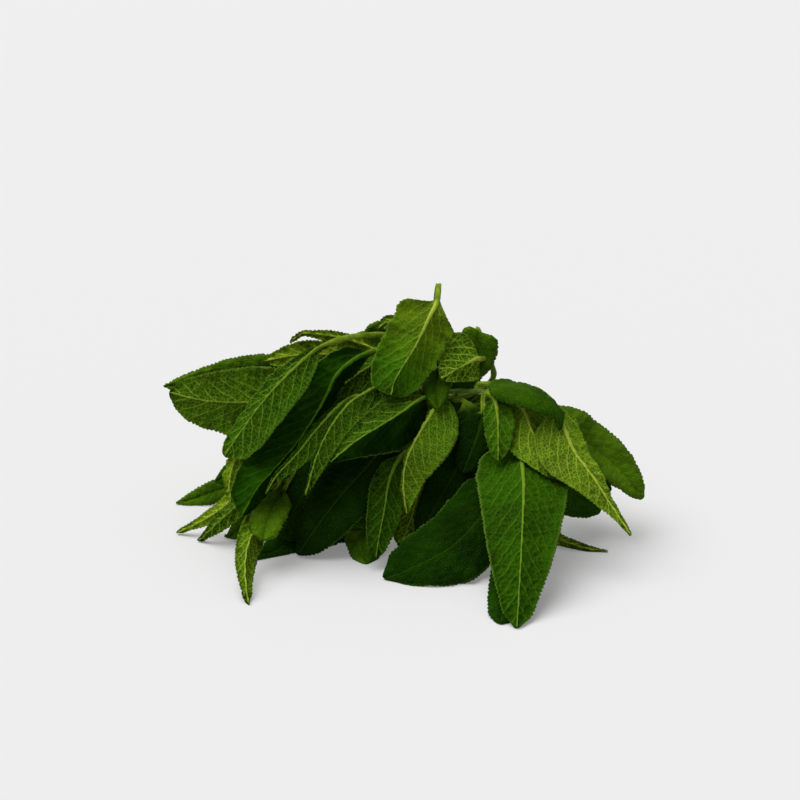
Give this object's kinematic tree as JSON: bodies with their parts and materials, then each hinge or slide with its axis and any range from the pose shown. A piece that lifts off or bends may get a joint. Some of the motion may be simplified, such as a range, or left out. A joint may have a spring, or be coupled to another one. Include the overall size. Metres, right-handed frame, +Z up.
{
  "type": "sage sprig",
  "caption": "Cut sprig of garden sage lying as picked: one branched stem with long-stalked, veined grey-green leaves drooping over each other in a low heap.",
  "frame": {"origin": "centre of the bounding box on the surface that the sprig lies on", "axes": "+Z up, +X along the heap's length, +Y towards the cut end of the stem"},
  "size_m": [0.1874, 0.167, 0.0936],
  "materials": {
    "sage_leaf": "matt, finely downy, with raised net veins underneath",
    "green_stem": "matt, downy young stem",
    "woody_stem": "matt bark, pale at the cut end"
  },
  "bodies": {
    "root": {"stem_main": "woody_stem", "shoot_top": "green_stem", "shoot_rear": "green_stem", "shoot_right": "green_stem", "shoot_left": "green_stem", "shoot_low_left": "green_stem", "shoot_front": "green_stem", "shoot_low_right": "green_stem", "leaf_top": "sage_leaf", "leaf_right_arch": "sage_leaf", "leaf_right_broad": "sage_leaf", "leaf_right_young": "sage_leaf", "leaf_right_cover": "sage_leaf", "leaf_front_broad": "sage_leaf", "leaf_crown_small": "sage_leaf", "leaf_crown_dark": "sage_leaf", "leaf_centre_pale": "sage_leaf", "leaf_centre_folded": "sage_leaf", "leaf_left_long": "sage_leaf", "leaf_middle_lit": "sage_leaf", "leaf_left_lit": "sage_leaf", "leaf_front_under": "sage_leaf", "leaf_floor_front": "sage_leaf", "leaf_left_long_dark": "sage_leaf", "leaf_left_narrow": "sage_leaf", "leaf_low_left_round": "sage_leaf", "leaf_low_left_front": "sage_leaf", "leaf_bottom_lit": "sage_leaf", "leaf_bottom_dark": "sage_leaf", "leaf_right_inner": "sage_leaf", "leaf_inner_dark": "sage_leaf", "leaf_middle_rear": "sage_leaf", "leaf_middle_inner": "sage_leaf", "leaf_left_broad": "sage_leaf", "leaf_bottom_inner": "sage_leaf", "leaf_bottom_middle": "sage_leaf", "leaf_bottom_left": "sage_leaf", "leaf_low_left_floor": "sage_leaf", "leaf_low_left_bud": "sage_leaf", "leaf_low_left_curled": "sage_leaf", "leaf_low_left_thin": "sage_leaf", "leaf_low_left_dark": "sage_leaf", "leaf_low_left_under": "sage_leaf", "leaf_crown_round": "sage_leaf", "leaf_right_far": "sage_leaf", "leaf_right_low": "sage_leaf", "leaf_right_floor": "sage_leaf", "leaf_right_rear": "sage_leaf", "leaf_low_left_far": "sage_leaf", "leaf_rear_curled": "sage_leaf", "leaf_rear_bright": "sage_leaf", "leaf_left_behind": "sage_leaf", "leaf_peak_pale": "sage_leaf", "leaf_peak_dark": "sage_leaf", "leaf_back_right_high": "sage_leaf", "leaf_back_left_floor": "sage_leaf", "leaf_back_right_floor": "sage_leaf", "leaf_back_low": "sage_leaf", "leaf_back_left": "sage_leaf", "leaf_back_right": "sage_leaf"}
  },
  "joints": []
}
